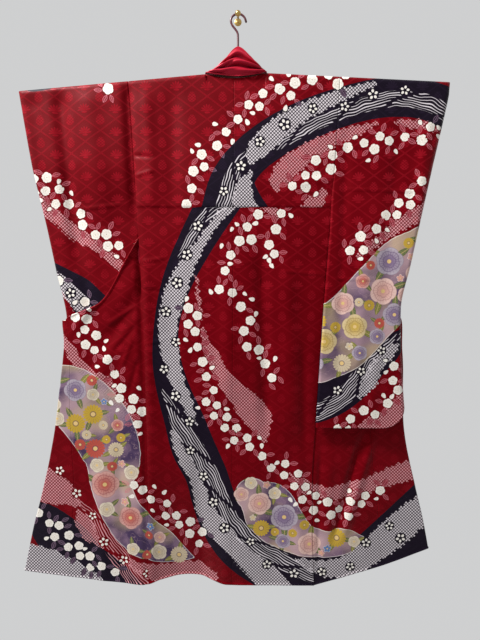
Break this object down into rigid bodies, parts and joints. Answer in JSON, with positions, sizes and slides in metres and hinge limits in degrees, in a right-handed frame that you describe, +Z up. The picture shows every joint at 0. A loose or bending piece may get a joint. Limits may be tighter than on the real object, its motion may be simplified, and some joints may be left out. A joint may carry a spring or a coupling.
{
  "type": "furisode kimono on a hanger with a wall hook",
  "caption": "Long-sleeved red silk kimono spread open from the back on a bar hanger that hangs from a small brass wall hook.",
  "frame": {"origin": "middle of the wall hook's plate, on its back face, where it meets the wall", "axes": "+Y into the wall, +Z up, +X to the right of a viewer who faces the wall and sees the outside of the kimono's back"},
  "size_m": [1.347, 0.068, 1.7959],
  "materials": {
    "silk": "figured silk crepe, soft satin sheen, dyed and tied-dot pattern",
    "hanger_bar": "satin dark brown",
    "hanger_wire": "semi-gloss dark red-brown",
    "brass": "polished, lightly aged"
  },
  "bodies": {
    "root": {"back_left": "silk", "back_right": "silk", "front_left": "silk", "front_right": "silk", "okumi_left": "silk", "okumi_right": "silk", "sleeve_left_back": "silk", "sleeve_left_front": "silk", "sleeve_right_back": "silk", "sleeve_right_front": "silk", "collar_left": "silk", "collar_right": "silk", "collar_back": "silk", "hanger_arms": "hanger_bar", "hanger_hook": "hanger_wire", "wall_hook": "brass"}
  },
  "joints": []
}
